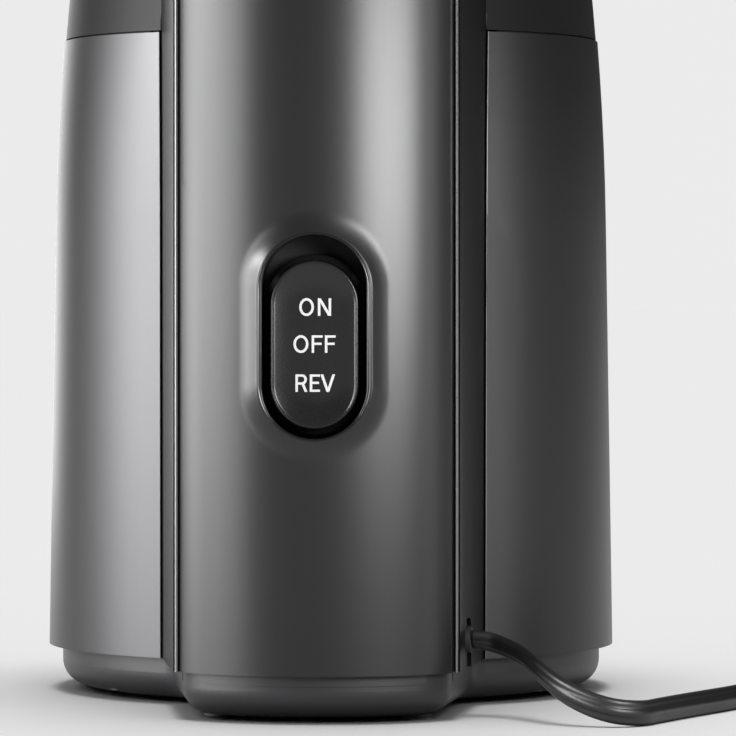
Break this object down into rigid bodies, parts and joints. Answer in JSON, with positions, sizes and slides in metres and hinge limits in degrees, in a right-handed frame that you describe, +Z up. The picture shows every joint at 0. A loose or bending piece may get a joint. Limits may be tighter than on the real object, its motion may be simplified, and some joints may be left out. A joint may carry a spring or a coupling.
{
  "type": "cold press juicer",
  "caption": "Upright slow juicer: round motor base, control column with a rocker switch, strainer bowl with screw, lid with feed chute and pusher.",
  "frame": {"origin": "middle of the footprint on the surface it stands on, the free mains lead left out", "axes": "+Z up along the drive shaft, -Y towards the control column's front, -X towards the juice spout"},
  "size_m": [0.3844, 0.2574, 0.43],
  "materials": {
    "body_finish": "satin graphite",
    "column_finish": "satin graphite, lighter than the round body",
    "dark_plastic": "fine matt",
    "black_plastic": "soft gloss",
    "bright_trim": "satin bright",
    "rocker_plastic": "soft gloss with white lettering",
    "rubber": "matt",
    "silicone": "matt silicone",
    "steel": "zinc plated",
    "lamination": "stacked steel sheets",
    "copper": "enamelled copper",
    "cast_aluminium": "die cast",
    "gear_plastic": "moulded acetal",
    "board_green": "solder mask",
    "parts_grey": "component bodies",
    "clear_plastic": "clear copolyester",
    "auger_plastic": "moulded polyetherimide",
    "cord_jacket": "satin jacket",
    "prong_brass": "plated brass"
  },
  "bodies": {
    "base": {"base_tray": "dark_plastic", "rubber_feet": "rubber", "base_screws": "steel", "body_shell": "body_finish", "collar_deck": "dark_plastic", "column_housing": "column_finish", "column_trim": "bright_trim", "column_front_panel": "column_finish", "column_cap": "dark_plastic", "switch_bezel": "black_plastic", "switch_body": "dark_plastic", "control_board": "board_green", "board_parts": "parts_grey", "run_capacitor": "parts_grey", "lid_sensor": "dark_plastic", "motor_stator": "lamination", "motor_windings": "copper", "motor_top_bracket": "cast_aluminium", "motor_bottom_bracket": "cast_aluminium", "motor_screws": "steel", "motor_bearings": "steel", "gearbox_housing": "dark_plastic", "ring_gear": "gear_plastic", "gearbox_cover": "dark_plastic", "gearbox_screws": "steel", "output_bearing": "steel", "shaft_seal": "rubber", "cord_grommet": "rubber", "cord_lead": "cord_jacket", "cord_coil": "cord_jacket", "plug_body": "cord_jacket", "plug_pins": "prong_brass"},
    "rocker": {"rocker_cap": "rocker_plastic"},
    "rotor": {"rotor_core": "lamination", "motor_shaft": "steel", "cooling_fan": "dark_plastic", "sun_pinion": "steel"},
    "drive": {"planet_carrier": "steel", "planet_clips": "steel", "drive_shaft": "steel"},
    "planet_1": {"planet_gear_1": "gear_plastic"},
    "planet_2": {"planet_gear_2": "gear_plastic"},
    "planet_3": {"planet_gear_3": "gear_plastic"},
    "bowl": {"juicing_bowl": "clear_plastic", "juice_spout": "clear_plastic", "pulp_duct": "clear_plastic", "hub_seal": "silicone", "strainer": "steel"},
    "auger": {"auger": "auger_plastic"},
    "spout_flap": {"spout_cap": "black_plastic", "spout_cap_seal": "silicone", "spout_pin": "steel"},
    "lid": {"hopper_lid": "black_plastic", "feed_chute": "black_plastic", "lid_tab": "black_plastic", "lid_seal": "silicone", "lid_magnet": "steel"},
    "pusher": {"pusher": "black_plastic", "pusher_foot": "silicone"}
  },
  "joints": [
    {"name": "power_switch", "type": "hinge", "parent": "base", "child": "rocker", "pos_m": [0.0143, -0.114, 0.1111], "axis": [1, 0, 0], "range_deg": [-8, 8]},
    {"name": "rotor_spin", "type": "hinge", "parent": "base", "child": "rotor", "pos_m": [0.0143, 0.022, 0.12], "axis": [0, 0, 1], "continuous": true},
    {"name": "drive_spin", "type": "hinge", "parent": "base", "child": "drive", "pos_m": [0.0143, 0.022, 0.211], "axis": [0, 0, 1], "continuous": true},
    {"name": "planet_1_spin", "type": "hinge", "parent": "drive", "child": "planet_1", "pos_m": [0.04055, 0.022, 0.19], "axis": [0, 0, 1], "continuous": true},
    {"name": "planet_2_spin", "type": "hinge", "parent": "drive", "child": "planet_2", "pos_m": [0.00118, 0.04473, 0.19], "axis": [0, 0, 1], "continuous": true},
    {"name": "planet_3_spin", "type": "hinge", "parent": "drive", "child": "planet_3", "pos_m": [0.00117, -0.00073, 0.19], "axis": [0, 0, 1], "continuous": true},
    {"name": "bowl_lift", "type": "slide", "parent": "base", "child": "bowl", "axis": [0, 0, 1], "range_m": [0, 0.12]},
    {"name": "auger_spin", "type": "hinge", "parent": "bowl", "child": "auger", "pos_m": [0.0143, 0.022, 0.26], "axis": [0, 0, 1], "continuous": true},
    {"name": "spout_cap_hinge", "type": "hinge", "parent": "bowl", "child": "spout_flap", "pos_m": [-0.0907, 0.022, 0.2708], "axis": [0, 1, 0], "range_deg": [0, 100]},
    {"name": "lid_lift", "type": "slide", "parent": "bowl", "child": "lid", "axis": [0, 0, 1], "range_m": [0, 0.09]},
    {"name": "pusher_lift", "type": "slide", "parent": "lid", "child": "pusher", "axis": [0, 0, 1], "range_m": [0, 0.085]}
  ],
  "couplings": [
    {"joint": "drive_spin", "follows": "rotor_spin", "ratio": 0.081633},
    {"joint": "planet_1_spin", "follows": "rotor_spin", "ratio": -0.36735},
    {"joint": "planet_2_spin", "follows": "rotor_spin", "ratio": -0.36735},
    {"joint": "planet_3_spin", "follows": "rotor_spin", "ratio": -0.36735},
    {"joint": "auger_spin", "follows": "rotor_spin", "ratio": 0.081633}
  ]
}
